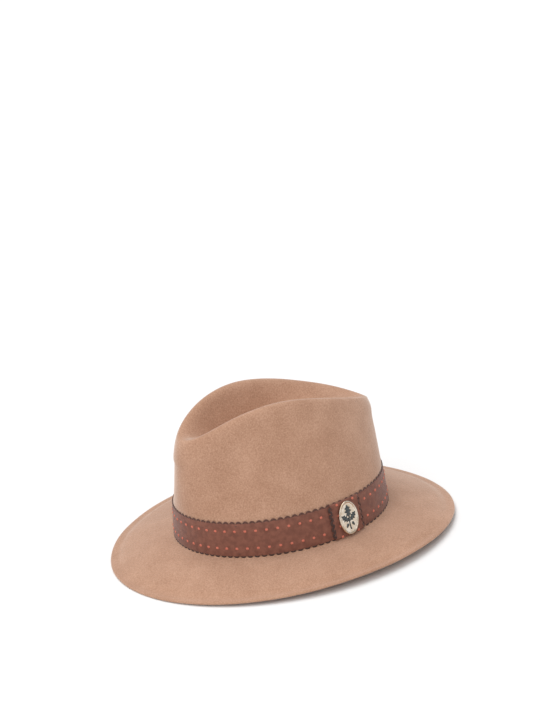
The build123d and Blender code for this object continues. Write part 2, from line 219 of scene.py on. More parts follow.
def natural_spline(knots, values, samples):
    """Smooth curve through the values at the knots, read at the samples."""
    gaps = np.diff(knots)
    count = len(knots)
    matrix = np.eye(count)
    right = np.zeros_like(values)
    for i in range(1, count - 1):
        matrix[i, i - 1:i + 2] = gaps[i - 1], 2 * (gaps[i - 1] + gaps[i]), gaps[i]
        right[i] = 6 * ((values[i + 1] - values[i]) / gaps[i] - (values[i] - values[i - 1]) / gaps[i - 1])
    bend = np.linalg.solve(matrix, right.reshape(count, -1)).reshape(values.shape)
    low = np.clip(np.searchsorted(knots, samples, side="right") - 1, 0, count - 2)
    shape = (-1,) + (1,) * (values.ndim - 1)
    gap = gaps[low].reshape(shape)
    a = (knots[low + 1] - samples).reshape(shape) / gap
    b = 1 - a
    curve = (a ** 3 - a) * bend[low] + (b ** 3 - b) * bend[low + 1]
    return a * values[low] + b * values[low + 1] + curve * gap ** 2 / 6


def surface_normals(points):
    """Outward directions on a grid of rows from the brim's edge inwards, closed around each row."""
    along = np.gradient(points, axis=0)
    across = np.roll(points, -1, axis=1) - np.roll(points, 1, axis=1)
    return unit(np.cross(across, along))


# ---- Felt surface ----

def edge_height(turn):
    ends = around(turn, EDGE_END, EDGE_SIDE, EDGE_END)
    return ends + EDGE_QUARTER_LIFT * (np.cos(3 * turn) - np.cos(turn))


def brim_points(turn, part):
    """Ring of the brim's upper side, from part 0 at its edge to part 1 at the crown's foot."""
    length = BRIM_LENGTH + part * (FOOT_LENGTH + FILLET - BRIM_LENGTH)
    width = BRIM_WIDTH + part * (FOOT_WIDTH + FILLET - BRIM_WIDTH)
    rise = part + BRIM_DOME * part * (1 - part)
    start = edge_height(turn)
    return oval(turn, length, width, start + rise * (FOOT - start))


def wall_points(turn, height, out=0.0):
    """Points of the crown's straight wall."""
    length = FOOT_LENGTH - LEAN_LENGTH * height + out
    width = FOOT_WIDTH - LEAN_WIDTH * height + out
    return oval(turn, length, width, FOOT + height)


def fillet_points(turn, angle):
    return wall_points(turn, FILLET * (1 - cos(angle)), FILLET * (1 - sin(angle)))


def crest_points(turn):
    height = around(turn, CREST_FRONT, CREST_SIDE, CREST_BACK)
    height = height + CREST_FORWARD * np.abs(np.sin(turn)) ** 3 * 2 * np.cos(turn)
    return oval(turn, CREST_LENGTH, CREST_WIDTH, height, CREST_SHIFT)


def shoulder_points(turn, out, drop):
    """Ring beside the crest, out and drop being shares of the shoulder's spread and of its fall."""
    level = np.stack([np.sin(turn) / CREST_WIDTH, -np.cos(turn) / CREST_LENGTH, 0 * turn], axis=-1)
    moved = crest_points(turn) + unit(level) * (around(turn, *SHOULDER_OUT) * out)[:, None]
    moved[:, 2] -= around(turn, *SHOULDER_DROP) * drop
    return moved


def upper_wall_points(turn, part):
    """Ring of the wall from the ribbon's top, at part 0, to the shoulder, at part 1."""
    low = wall_points(turn, RIBBON_LOW + RIBBON_HEIGHT)
    high = shoulder_points(turn, 1.0, 1.0)
    bulge = around(turn, *BULGE) * sin(pi * part)
    fold = np.abs(np.arctan2(np.sin(turn), np.cos(turn)))
    pinch = PINCH_DEPTH * np.exp(-((fold - PINCH_TURN) / PINCH_SPREAD) ** 2) * sin(pi * part)
    outward = level_outward(low)
    return low + (high - low) * part + outward * (bulge - pinch)[:, None]


def crease_points(turn, scale, sink):
    """Ring of the crease, scaled towards the centre and sunk from the crest to the floor."""
    crest = crest_points(turn)
    x = crest[:, 0] * scale
    y = CREASE_CENTRE + (crest[:, 1] - CREASE_CENTRE) * scale
    floor = CREASE_FLOOR + CREASE_SLOPE * (y - CREASE_CENTRE)
    return np.stack([x, y, crest[:, 2] + (floor - crest[:, 2]) * sink], axis=-1)


def felt_stations(turn):
    """Rings of the felt's outer side, from the brim's edge to the middle of the crease."""
    rings = [brim_points(turn, part) for part in (0.0, 0.2, 0.4, 0.6, 0.8, 0.91, 0.97, 1.0)]
    rings += [fillet_points(turn, radians(angle)) for angle in (22.5, 45, 67.5)]
    rings += [wall_points(turn, height) for height in (FILLET, 0.0037, 0.006, 0.010, 0.016, 0.022, 0.028)]
    rings += [upper_wall_points(turn, part) for part in (0.0, 0.08, 0.2, 0.4, 0.6, 0.8, 1.0)]
    rings += [shoulder_points(turn, out, drop) for out, drop in ((0.6, 0.27), (0.25, 0.03))]
    rings += [crease_points(turn, scale, sink) for scale, sink in ((0.93, 0.05), (0.82, 0.21), (0.68, 0.5))]
    rings += [crease_points(turn, scale, sink) for scale, sink in ((0.52, 0.8), (0.36, 0.95), (0.2, 1.0))]
    rings.append(oval(turn, CREASE_RING, CREASE_RING, CREASE_FLOOR, CREASE_CENTRE))
    return np.array(rings)


def felt_surface():
    """Dense grid of the felt's outer side, slightly uneven as hand-blocked felt is."""
    turn = full_circle(TURNS)
    stations = felt_stations(turn)
    side = stations[:, TURNS // 4]
    knots = distances(side)
    steps = np.arange((len(knots) - 1) * SAMPLES + 1) / SAMPLES
    grid = natural_spline(knots, stations, np.interp(steps, np.arange(len(knots)), knots))
    wave = np.array([[noise.noise(Vector(point) / HAND_WAVE_SIZE) for point in row] for row in grid])
    off_ribbon = np.abs(grid[:, :, 2] - FOOT - RIBBON_HEIGHT / 2) > RIBBON_HEIGHT / 2 + FILLET
    grid = grid + surface_normals(grid) * (wave * off_ribbon * HAND_WAVE)[:, :, None]
    for row, lift in zip(grid, EDGE_LIP):
        row[:, 2] += lift
    grid[:, :, 2] = np.maximum(grid[:, :, 2], FELT + CAD_BOUNDS[0][2])
    return grid


# ---- Mesh helpers ----

def new_piece(name, points, faces):
    """Smooth-shaded object."""
    mesh = bpy.data.meshes.new(name)
    mesh.from_pydata([tuple(point) for point in points], [], faces)
    mesh.polygons.foreach_set("use_smooth", [True] * len(mesh.polygons))
    piece = bpy.data.objects.new(name, mesh)
    bpy.context.collection.objects.link(piece)
    return piece


def tube_faces(start, rings, sides):
    """Quads between rings of points that follow one another from start."""
    faces = []
    for ring in range(rings - 1):
        first = start + ring * sides
        for i in range(sides):
            a, b = first + i, first + (i + 1) % sides
            faces.append((a, b, b + sides, a + sides))
    return faces


def lattice(name, points, wrap_rows=False, wrap_columns=False, uv=None, caps=False):
    """Mesh of quads over a grid of points; uv has one more row or column where the grid wraps."""
    rows, columns = points.shape[:2]
    last_row = rows if wrap_rows else rows - 1
    last_column = columns if wrap_columns else columns - 1
    faces = []
    corners = []
    for i in range(last_row):
        for j in range(last_column):
            ring = ((i, j), (i, j + 1), (i + 1, j + 1), (i + 1, j))
            faces.append([(a % rows) * columns + b % columns for a, b in ring])
            corners += ring
    if caps:
        faces.append(list(range(columns)))
        faces.append([(rows - 1) * columns + j for j in reversed(range(columns))])
    piece = new_piece(name, points.reshape(-1, 3), faces)
    if uv is not None:
        layer = piece.data.uv_layers.new(name="UVMap")
        for loop, (a, b) in zip(layer.data, corners):
            loop.uv = uv[a, b]
    return piece


def fix_normals(piece):
    """Turn every face outwards."""
    shell = bmesh.new()
    shell.from_mesh(piece.data)
    bmesh.ops.recalc_face_normals(shell, faces=shell.faces)
    shell.to_mesh(piece.data)
    shell.free()
    return piece


def place(piece, slot, material, *nodes):
    """Give a piece its finish, and let it ride with the hat in place of its CAD nodes."""
    piece.data.materials.append(material)
    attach(piece, "root")
    if nodes:
        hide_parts(*nodes)
    return piece


def sweep(name, path, outward, wide, thick, sides=8, closed=False):
    """Cord or strip along a path; wide is its half-size along outward, thick its half-size across."""
    if closed:
        along = unit(np.roll(path, -1, axis=0) - np.roll(path, 1, axis=0))
    else:
        along = unit(np.gradient(path, axis=0))
    across = unit(np.cross(outward, along))
    lift = np.cross(along, across)
    angle = full_circle(sides)
    ring = np.cos(angle)[None, :, None] * lift[:, None] * wide
    ring = ring + np.sin(angle)[None, :, None] * across[:, None] * thick
    return fix_normals(lattice(name, path[:, None] + ring, closed, True, caps=not closed))


def wall_frame(turn, height, out):
    """Origin on the wall, with the directions along it towards the back, up it and outwards."""
    turns = np.array([turn, turn + 0.001, turn])
    heights = np.array([height, height, height + 0.001])
    origin, beside, above = wall_points(turns, heights, out)
    along = unit(beside - origin)
    outward = unit(np.cross(along, above - origin))
    return origin, along, np.cross(outward, along), outward


def turn_rate(turn):
    """Distance along the wall for each radian of turn."""
    return np.hypot(FOOT_WIDTH * np.cos(turn), FOOT_LENGTH * np.sin(turn))


def wall_strip(name, turns, profile, wrap=False, caps=False):
    """Piece that keeps one closed profile of (height, out) points along the wall."""
    points = np.stack([wall_points(turns, height, out) for height, out in profile], axis=1)
    steps = distances(points[:, 0])
    steps = np.append(steps, steps[-1] + steps[1])
    heights = np.array([height for height, out in profile] + [profile[0][0]])
    uv = np.stack(np.broadcast_arrays(steps[:, None], heights[None, :]), axis=-1)
    return fix_normals(lattice(name, points, wrap, True, uv, caps))


def rounded(low, high, out, thickness, parts=6):
    """Closed profile of a sheet on the wall, its edges rounded."""
    radius = thickness / 2
    centre = out - radius
    curve = [radians(angle) for angle in (-90, -45, 0, 45, 90)]
    heights = np.linspace(low + radius, high - radius, parts)
    profile = [(height, out) for height in heights]
    profile += [(high - radius + radius * cos(a), centre - radius * sin(a)) for a in curve[1:]]
    profile += [(height, out - thickness) for height in heights[::-1][1:]]
    profile += [(low + radius - radius * cos(a), centre + radius * sin(a)) for a in curve[1:-1]]
    return profile


def smooth_path(points, count):
    """Points joined by a smooth curve."""
    points = np.array(points)
    knots = distances(points)
    return natural_spline(knots, points, np.linspace(0, knots[-1], count))


# ---- Materials ----

def new_material(name):
    material = bpy.data.materials.new(name)
    material.use_nodes = True
    return material, material.node_tree, material.node_tree.nodes["Principled BSDF"]


def node(tree, kind, **inputs):
    """Node with its inputs set: to a value, or to another node's first output."""
    made = tree.nodes.new(kind)
    for name, value in inputs.items():
        socket = made.inputs[name.replace("_", " ")]
        if isinstance(value, bpy.types.NodeSocket):
            tree.links.new(value, socket)
        else:
            socket.default_value = value
    return made


def place_coordinates(tree):
    return tree.nodes.new("ShaderNodeTexCoord").outputs["Object"]


def cloth_coordinates(tree):
    return tree.nodes.new("ShaderNodeTexCoord").outputs["UV"]


def noise_value(tree, where, scale, detail=2.0):
    return node(tree, "ShaderNodeTexNoise", Vector=where, Scale=scale, Detail=detail).outputs["Fac"]


def calculate(tree, operation, *values):
    made = tree.nodes.new("ShaderNodeMath")
    made.operation = operation
    for socket, value in zip(made.inputs, values):
        if isinstance(value, bpy.types.NodeSocket):
            tree.links.new(value, socket)
        else:
            socket.default_value = value
    return made.outputs[0]


def ramp(tree, factor, *stops):
    """Colour that follows a factor through (position, colour) stops."""
    made = node(tree, "ShaderNodeValToRGB", Fac=factor)
    elements = made.color_ramp.elements
    for element, (position, colour) in zip(elements, (stops[0], stops[-1])):
        element.position = position
        element.color = (*colour, 1)
    for position, colour in stops[1:-1]:
        elements.new(position).color = (*colour, 1)
    return made.outputs["Color"]


def stretched(tree, where, *scale):
    return node(tree, "ShaderNodeMapping", Vector=where, Scale=scale).outputs[0]


def mix(tree, first, second, share):
    """Sum of the first value's share and of the second value's rest."""
    return calculate(tree, "MULTIPLY_ADD", first, share, calculate(tree, "MULTIPLY", second, 1 - share))


def colour_with(tree, shader, factor, *stops):
    tree.links.new(ramp(tree, factor, *stops), shader.inputs["Base Color"])


def mottle(tree, shader, factor, colour, darkening, low=0.35, high=0.65):
    """Base colour that varies between a darker shade and the colour itself."""
    dark = tuple(channel * darkening for channel in colour)
    colour_with(tree, shader, factor, (low, dark), (high, colour))


def finish(shader, **values):
    """Set the shader's own inputs."""
    for name, value in values.items():
        shader.inputs[name.replace("_", " ")].default_value = value


def bump(tree, shader, height, distance, strength=1.0):
    made = node(tree, "ShaderNodeBump", Height=height, Strength=strength, Distance=distance)
    tree.links.new(made.outputs["Normal"], shader.inputs["Normal"])


def waves(tree, value, pitch):
    """Value from -1 to 1 that repeats at every pitch."""
    return calculate(tree, "SINE", calculate(tree, "MULTIPLY", value, 2 * pi / pitch))


def felt_material():
    """Brushed wool felt: mottled colour, tangled fibres and a soft nap."""
    material, tree, shader = new_material("wool_felt")
    where = place_coordinates(tree)
    fibre = noise_value(tree, where, 800.0, 5.0)
    mixed = mix(tree, noise_value(tree, where, 45.0, 4.0), fibre, 0.3)
    colour_with(tree, shader, mixed, (0.36, FELT_DARK), (0.50, FELT_COLOUR), (0.64, FELT_LIGHT))
    finish(shader, Roughness=0.92, Specular_IOR_Level=0.15)
    finish(shader, Sheen_Weight=0.8, Sheen_Roughness=0.4, Sheen_Tint=(1.0, 0.90, 0.82, 1))
    tangle = calculate(tree, "ADD", fibre, noise_value(tree, where, 420.0, 3.0))
    bump(tree, shader, tangle, 0.0004, 0.7)
    return material


def ribbon_material(name, upright):
    """Ribbed ribbon; its ribs run across its length."""
    material, tree, shader = new_material(name)
    split = node(tree, "ShaderNodeSeparateXYZ", Vector=cloth_coordinates(tree))
    length, width = split.outputs["X"], split.outputs["Y"]
    if upright:
        length, width = width, length
    weave = mix(tree, waves(tree, length, RIB_PITCH), waves(tree, width, WEAVE_PITCH), 0.7)
    cloud = noise_value(tree, place_coordinates(tree), 220.0, 3.0)
    shade = calculate(tree, "MULTIPLY_ADD", weave, 0.14, cloud)
    colour_with(tree, shader, shade, (0.34, RIBBON_DARK), (0.66, RIBBON_COLOUR))
    finish(shader, Roughness=0.62, Specular_IOR_Level=0.35, Sheen_Weight=0.25, Sheen_Roughness=0.4)
    bump(tree, shader, weave, 0.00012, 0.6)
    return material


def thread_material(name, colour):
    """Twisted thread."""
    material, tree, shader = new_material(name)
    twist = noise_value(tree, place_coordinates(tree), 2600.0)
    mottle(tree, shader, twist, colour, 0.7)
    finish(shader, Roughness=0.7, Sheen_Weight=0.2)
    bump(tree, shader, twist, 0.0001, 0.6)
    return material


def gold_material():
    """Pale gold plate with fine brushing and soft wear."""
    material, tree, shader = new_material("pale_gold")
    where = place_coordinates(tree)
    wear = noise_value(tree, where, 260.0, 3.0)
    colour_with(tree, shader, wear, (0.35, GOLD), (0.7, WORN_GOLD))
    scratches = noise_value(tree, stretched(tree, where, 1, 1, 12), 900.0)
    rough = calculate(tree, "MULTIPLY_ADD", scratches, 0.12, 0.18)
    tree.links.new(rough, shader.inputs["Roughness"])
    finish(shader, Metallic=1.0)
    bump(tree, shader, scratches, 0.00002, 0.3)
    return material


def enamel_material():
    """Dark enamel, a little uneven where it pooled."""
    material, tree, shader = new_material("dark_enamel")
    pooling = noise_value(tree, place_coordinates(tree), 700.0)
    colour_with(tree, shader, pooling, (0.3, ENAMEL), (0.8, ENAMEL_LIGHT))
    finish(shader, Roughness=0.22, Coat_Weight=0.5)
    bump(tree, shader, pooling, 0.00005, 0.3)
    return material


def leather_material():
    """Smooth tan leather with a fine pebbled grain."""
    material, tree, shader = new_material("tan_leather")
    where = place_coordinates(tree)
    grain = node(tree, "ShaderNodeTexVoronoi", Vector=where, Scale=1100.0).outputs["Distance"]
    mottle(tree, shader, noise_value(tree, where, 60.0, 4.0), LEATHER_COLOUR, 0.72)
    finish(shader, Roughness=0.48)
    bump(tree, shader, grain, 0.00015, 0.5)
    return material


def satin_material(name, colour):
    """Satin with a fine weave and a soft gloss."""
    material, tree, shader = new_material(name)
    weave = noise_value(tree, stretched(tree, place_coordinates(tree), 1, 1, 0.2), 2200.0)
    mottle(tree, shader, weave, colour, 0.8)
    finish(shader, Roughness=0.34, Anisotropic=0.5, Sheen_Weight=0.3)
    bump(tree, shader, weave, 0.00008, 0.4)
    return material


def plastic_material(name, colour):
    """Plain plastic, slightly mottled."""
    material, tree, shader = new_material(name)
    speckle = noise_value(tree, place_coordinates(tree), 500.0)
    mottle(tree, shader, speckle, colour, 0.88, 0.3, 0.7)
    finish(shader, Roughness=0.5)
    bump(tree, shader, speckle, 0.00005, 0.3)
    return material


# ---- Felt ----

def felt_body(material):
    """Crown and brim in one shell of felt, closed by a rounded raw edge."""
    outer = felt_surface()
    normals = surface_normals(outer)
    inner = outer - normals * FELT
    edge = (outer[0] + inner[0]) / 2
    beyond = unit(outer[0] - outer[1])
    angles = np.linspace(0, pi, 7)[1:-1]
    arcs = [edge + (beyond * sin(angle) - normals[0] * cos(angle)) * FELT / 2 for angle in angles]
    tiny = oval(full_circle(TURNS), 1e-5, 1e-5, CREASE_FLOOR, CREASE_CENTRE)
    rows = [tiny - (0, 0, FELT), *inner[::-1], *arcs, *outer, tiny]
    piece = fix_normals(lattice("felt_hood", np.array(rows), False, True, caps=True))
    return place(piece, "felt", material, "felt_body")


# ---- Ribbon ----

def ribbon_turns(count):
    """Turns along the ribbon, whose ends meet under the keeper."""
    gap = JOIN_GAP / turn_rate(KEEPER_TURN) / 2
    return np.linspace(KEEPER_TURN + gap, KEEPER_TURN - gap + 2 * pi, count)


def ribbon_band(material):
    turns = ribbon_turns(361)
    piece = wall_strip("ribbon", turns, rounded(RIBBON_LOW, RIBBON_TOP, RIBBON_OUT, RIBBON), caps=True)
    place(piece, "ribbon", material, "ribbon_band")


def loop_reach(phase):
    """How far an edging of small loops reaches out, with one loop for each whole number of phase."""
    share = (phase % 1 - 0.5) / SCALLOP_SHARE
    return SCALLOP_REACH * np.sqrt(np.clip(1 - share ** 2, 0, 1)) - SCALLOP_THREAD


def picot_edge(name, edge, direction, material):
    """Row of small thread loops along the ribbon's upper or lower edge."""
    phase = np.linspace(0, SCALLOPS, SCALLOPS * SCALLOP_STEPS + 1)
    heights = edge + direction * loop_reach(phase)
    path = wall_points(ribbon_turns(len(phase)), heights, RIBBON_OUT - RIBBON / 2)
    place(sweep(name, path, level_outward(path), RIBBON / 2, SCALLOP_THREAD), "thread", material)


def thread_dots(name, places, out, material):
    """Small raised knots, each of three short strands side by side; places are (turn, height) pairs."""
    rings, sides = 4, 8
    angle = full_circle(sides)
    points = []
    faces = []
    for turn, height in places:
        rate = turn_rate(turn)
        for strand in (-1, 0, 1):
            start = len(points)
            offset = strand * DOT_SPACING
            tall = DOT_SIZE / 2 * (1 - DOT_TAPER * abs(strand))
            for climb in np.arange(rings) / rings * pi / 2:
                beside = offset + DOT_THREAD * cos(climb) * np.cos(angle)
                above = tall * cos(climb) * np.sin(angle)
                points += list(wall_points(turn + beside / rate, height + above, out + DOT_LIFT * sin(climb)))
            points += list(wall_points(np.array([turn + offset / rate]), height, out + DOT_LIFT))
            faces += tube_faces(start, rings, sides)
            last = start + (rings - 1) * sides
            faces += [(last + i, last + (i + 1) % sides, last + sides) for i in range(sides)]
    place(fix_normals(new_piece(name, points, faces)), "thread", material)


def ribbon_dots(material):
    turns = ribbon_turns(DOT_COLUMNS + 1)[:-1] + pi / DOT_COLUMNS
    places = [(turn, RIBBON_LOW + row) for turn in turns for row in DOT_ROWS]
    thread_dots("ribbon_dots", places, RIBBON_OUT, material)


# ---- Keeper ----

def keeper_turns(count):
    half = KEEPER_WIDTH / 2 / turn_rate(KEEPER_TURN)
    return np.linspace(KEEPER_TURN - half, KEEPER_TURN + half, count)


def keeper(material):
    """Upright piece of ribbon, folded over both edges of the band."""
    low, high = RIBBON_LOW - KEEPER_OVERLAP, RIBBON_TOP + KEEPER_OVERLAP
    path = [(low + inset, out) for inset, out in LOWER_FOLD]
    path.append((RIBBON_MIDDLE, KEEPER_OUT))
    path += [(high - inset, out) for inset, out in UPPER_FOLD]
    outer = smooth_path(path, 60)
    side = np.gradient(outer, axis=0)
    inner = outer + unit(np.stack([side[:, 1], -side[:, 0]], axis=1)) * KEEPER_CLOTH
    profile = [tuple(point) for point in np.concatenate([outer, inner[::-1]])]
    piece = wall_strip("keeper", keeper_turns(25), profile, caps=True)
    place(piece, "ribbon", material, "keeper_wrap")


def keeper_picots(name, turn, direction, thread, material):
    """Row of thread loops along one upright edge of the keeper."""
    phase = np.linspace(0, KEEPER_LOOPS, KEEPER_LOOPS * SCALLOP_STEPS + 1)
    heights = np.linspace(RIBBON_LOW + PICOT_INSET, RIBBON_TOP - PICOT_INSET, len(phase))
    turns = turn + direction * (loop_reach(phase) + SCALLOP_THREAD / 2) / turn_rate(turn)
    path = wall_points(turns, heights, KEEPER_OUT - PICOT_SINK)
    place(sweep(name, path, level_outward(path), PICOT_DEPTH, thread), "thread", material)


def keeper_edges(front_material, back_material):
    """Loops along both upright edges, heavier at the front one; the front one takes the darker copy of the
    back one's thread, as painted shade.
    """
    front, back = keeper_turns(2)
    keeper_picots("keeper_picots_front", front, -1, KEEPER_THREAD, front_material)
    keeper_picots("keeper_picots_back", back, 1, SCALLOP_THREAD / 2, back_material)


def keeper_dots(material):
    places = []
    for column in (-1, 1):
        turn = KEEPER_TURN + column * (KEEPER_WIDTH / 2 - DOT_ROWS[0]) / turn_rate(KEEPER_TURN)
        places += [(turn, RIBBON_MIDDLE + KEEPER_DOT_PITCH * step) for step in (-1.5, -0.5, 0.5, 1.5)]
    thread_dots("keeper_dots", places, KEEPER_OUT, material)


# ---- Badge ----

def badge_points(x, y, rise):
    """Points given on the badge."""
    origin, along, up, outward = wall_frame(KEEPER_TURN, RIBBON_MIDDLE, KEEPER_OUT + CLEARANCE)
    x, y, rise = np.broadcast_arrays(x, y, rise)
    return origin + x[..., None] * along + y[..., None] * up + rise[..., None] * outward


def badge_plate(material):
    """Oval plate with a rounded rim and a gently domed field."""
    angle = full_circle(96)
    half_width, half_height = BADGE_WIDTH / 2, BADGE_HEIGHT / 2
    rings = [(half_width - inset, half_height - inset, rise) for inset, rise in RIM_OUTSIDE + RIM_INSIDE]
    for share in (0.97, 0.8, 0.6, 0.4, 0.2, 0.001):
        rise = BADGE_FIELD + BADGE_DOME * (1 - share ** 2)
        rings.append(((half_width - BADGE_RIM) * share, (half_height - BADGE_RIM) * share, rise))
    rows = [badge_points(wide * np.cos(angle), tall * np.sin(angle), rise) for wide, tall, rise in rings]
    piece = fix_normals(lattice("badge", np.array(rows), False, True, caps=True))
    place(piece, "gold", material, "badge_plate")


def motif_piece(name, centre, angle, x, y, rise, material, *nodes):
    """Raised shape of the motif, turned by an angle and moved to its centre."""
    turned_x = centre[0] + x * cos(angle) - y * sin(angle)
    turned_y = centre[1] + x * sin(angle) + y * cos(angle)
    place(lattice(name, badge_points(turned_x, turned_y, rise)), "enamel", material, *nodes)


def leaf(name, centre, angle, size, material):
    """Lobed oak leaf in raised enamel; size is its length and its half-width."""
    length, width = size
    along = np.linspace(0, 1, 41)[:, None]
    across = np.linspace(-1, 1, 9)[None, :]
    lobes = np.sin(pi * along) ** 0.75 * (1 - LOBE_DEPTH + LOBE_DEPTH * np.cos(2 * pi * LEAF_LOBES * along))
    rise = MOTIF_BASE + LEAF_RISE * (1 - np.abs(across) ** 1.5) * (0.3 + 0.7 * lobes)
    x = width * lobes * across
    motif_piece(name, centre, angle, x, length * (along - 0.5) + 0 * x, rise, material, "badge_motif")


def acorn(name, centre, angle, material):
    """Acorn in raised enamel, its cup wider than its nut."""
    along = np.linspace(0, 1, 21)[:, None]
    over = np.linspace(0, pi, 9)[None, :]
    cup = ACORN_CUP * np.sin(pi * (0.12 + along * 0.95))
    nut = ACORN_NUT * np.sqrt(np.clip(1 - ((along - 0.35) / 0.65) ** 2, 0, 1))
    radius = np.where(along < CUP_SHARE, cup, nut)
    x = radius * np.cos(over)
    rise = MOTIF_BASE + ACORN_RISE * radius * np.sin(over)
    motif_piece(name, centre, angle, x, ACORN_LENGTH * (along - 0.5) + 0 * x, rise, material)


def stem(material):
    height = np.linspace(STEM_LOW, STEM_HIGH, 12)
    path = badge_points(STEM_SWAY * np.sin(height * 300), height, STEM_RISE)
    outward = badge_points(0, 0, 1) - badge_points(0, 0, 0)
    place(sweep("motif_stem", path, outward + 0 * path, STEM_WIDE, STEM_THICK), "enamel", material)


def badge_motif(material):
    """Plain oak sprig: three leaves, two acorns and a stem."""
    leaf("motif_leaf_top", TOP_LEAF_PLACE, 0.0, TOP_LEAF_SIZE, material)
    for side in (-1, 1):
        leaf_place = (side * SIDE_LEAF_PLACE[0], SIDE_LEAF_PLACE[1])
        acorn_place = (side * ACORN_PLACE[0], ACORN_PLACE[1])
        leaf(f"motif_leaf_{side + 1}", leaf_place, -side * SIDE_LEAF_TURN, SIDE_LEAF_SIZE, material)
        acorn(f"motif_acorn_{side + 1}", acorn_place, pi + side * ACORN_TURN, material)
    stem(material)


def finish_prongs(material):
    """The prongs keep their CAD shape and get the plate's metal."""
    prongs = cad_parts["badge_prongs"]
    prongs.data.materials.clear()
    prongs.data.materials.append(material)


# ---- Sewing thread ----

def stitch_row(name, places, out, length, upright, slot, material, cad):
    """Short stitches whose ends dip into the cloth; places are (turn, height) pairs."""
    points = []
    faces = []
    steps, sides = 7, 6
    share = np.linspace(-0.5, 0.5, steps)
    lift = STITCH_RADIUS * (STITCH_ARCH * np.cos(pi * share) - STITCH_DIP)
    for turn, height in places:
        if upright:
            path = wall_points(turn + 0 * share, height + length * share, out + lift)
        else:
            path = wall_points(turn + length * share / turn_rate(turn), height, out + lift)
        along = unit(np.gradient(path, axis=0))
        across = unit(np.cross(level_outward(path), along))
        faces += tube_faces(len(points), steps, sides)
        for centre, lifted, side in zip(path, np.cross(along, across), across):
            points += [centre + STITCH_RADIUS * (cos(a) * lifted + sin(a) * side) for a in full_circle(sides)]
    place(fix_normals(new_piece(name, points, faces)), slot, material, cad)


def keeper_seam(material):
    inset = (KEEPER_WIDTH / 2 - KEEPER_SEAM_INSET) / turn_rate(KEEPER_TURN)
    heights = np.linspace(RIBBON_LOW + KEEPER_SEAM_END, RIBBON_TOP - KEEPER_SEAM_END, KEEPER_SEAM_STITCHES)
    places = [(KEEPER_TURN + side * inset, height) for side in (-1, 1) for height in heights]
    stitch_row("keeper_seam", places, KEEPER_OUT, SHORT_STITCH, True, "thread", material, "keeper_stitches")


def ribbon_tacks(material):
    heights = (RIBBON_LOW + TACK_EDGE, RIBBON_TOP - TACK_EDGE)
    places = [(KEEPER_TURN + radians(angle), height) for angle in TACK_ANGLES for height in heights]
    stitch_row("ribbon_tacks", places, RIBBON_OUT, SHORT_STITCH, False, "thread", material, "band_tacks")


# ---- Inside the hat ----

def back_turns(count):
    """Turns round the whole hat, starting and ending at the back."""
    gap = JOIN_GAP / 2 / turn_rate(pi)
    return np.linspace(gap - pi, pi - gap, count)


def sweatband(material):
    turns = back_turns(241)
    profile = rounded(LEATHER_LOW, LEATHER_TOP, LEATHER_OUT, LEATHER)
    piece = wall_strip("leather_sweatband", turns, profile, caps=True)
    place(piece, "leather", material, "sweatband")


def sweatband_seam(material):
    places = [(turn + pi / SEAM_STITCHES, LEATHER_LOW + SEAM_HEIGHT) for turn in full_circle(SEAM_STITCHES)]
    slot, cad = "stitching", "sweatband_stitching"
    stitch_row("sweatband_seam", places, LEATHER_FACE, SEAM_STITCH, False, slot, material, cad)


def sweatband_reed(material):
    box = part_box("sweatband_reed")
    height = (box[0][2] + box[1][2]) / 2 - FOOT
    radius = half_size(box, 2)
    out = half_size(box, 1) - radius - FOOT_LENGTH + LEAN_LENGTH * height
    path = wall_points(full_circle(240), height, out)
    piece = sweep("reed", path, level_outward(path), radius, radius, closed=True)
    place(piece, "reed", material, "sweatband_reed")


def seam_tape(material):
    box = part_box("reed_tape")
    low, high = box[0][2] - FOOT, box[1][2] - FOOT
    out = half_size(box, 1) - FOOT_LENGTH + LEAN_LENGTH * low
    piece = wall_strip("seam_tape", back_turns(241), rounded(low, high, out, THIN_CLOTH, 4), caps=True)
    place(piece, "tape", material, "reed_tape")


def bow(material):
    """Small flat bow that covers the sweatband's join."""
    height = (LEATHER_LOW + LEATHER_TOP) / 2
    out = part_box("sweatband_bow")[1][1] - FOOT_LENGTH + LEAN_LENGTH * height
    origin, along, up, outward = wall_frame(pi, height, out)
    centre = origin - outward * BOW_DEPTH

    def flat(x, y):
        x, y = np.broadcast_arrays(x, y)
        return centre + x[:, None] * along + y[:, None] * up

    def strip(name, path, wide, thick, closed=False):
        return sweep(name, path, 0 * path - outward, wide, thick, closed=closed)

    angle = full_circle(48)
    pinched = np.cos(angle / 2) ** 2
    drop = np.linspace(0, 1, 14)
    for name, side in (("left", -1), ("right", 1)):
        tall = BOW_HALF_HEIGHT * np.sin(angle) * (1 - BOW_PINCH * pinched)
        loop = flat(side * BOW_REACH * (1 - pinched), tall)
        loop_piece = strip(f"bow_loop_{name}", loop, BOW_DEPTH, THIN_CLOTH, True)
        place(loop_piece, "bow", material, "sweatband_bow")
        tail = flat(side * (BOW_TAIL_SPREAD * drop + BOW_TAIL_WAVE * np.sin(6 * drop)), -BOW_TAIL * drop)
        place(strip(f"bow_tail_{name}", tail, BOW_DEPTH * 0.9, THIN_CLOTH), "bow", material)
    knot = flat(0.0, np.linspace(-KNOT_HALF_HEIGHT, KNOT_HALF_HEIGHT, 13))
    place(strip("bow_knot", knot, BOW_DEPTH * 1.1, KNOT_HALF_WIDTH), "bow", material)


def size_label(material):
    """Blank label on the leather."""
    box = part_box("size_label")
    turn = np.arctan2((box[0][0] + box[1][0]) / 2, -(box[0][1] + box[1][1]) / 2)
    half = LABEL_WIDTH / 2 / turn_rate(turn)
    low, high = box[0][2] - FOOT, box[1][2] - FOOT
    profile = rounded(low, high, LEATHER_FACE - CLEARANCE, THIN_CLOTH)
    piece = wall_strip("label", np.linspace(turn - half, turn + half, 13), profile, caps=True)
    place(piece, "label", material, "size_label")


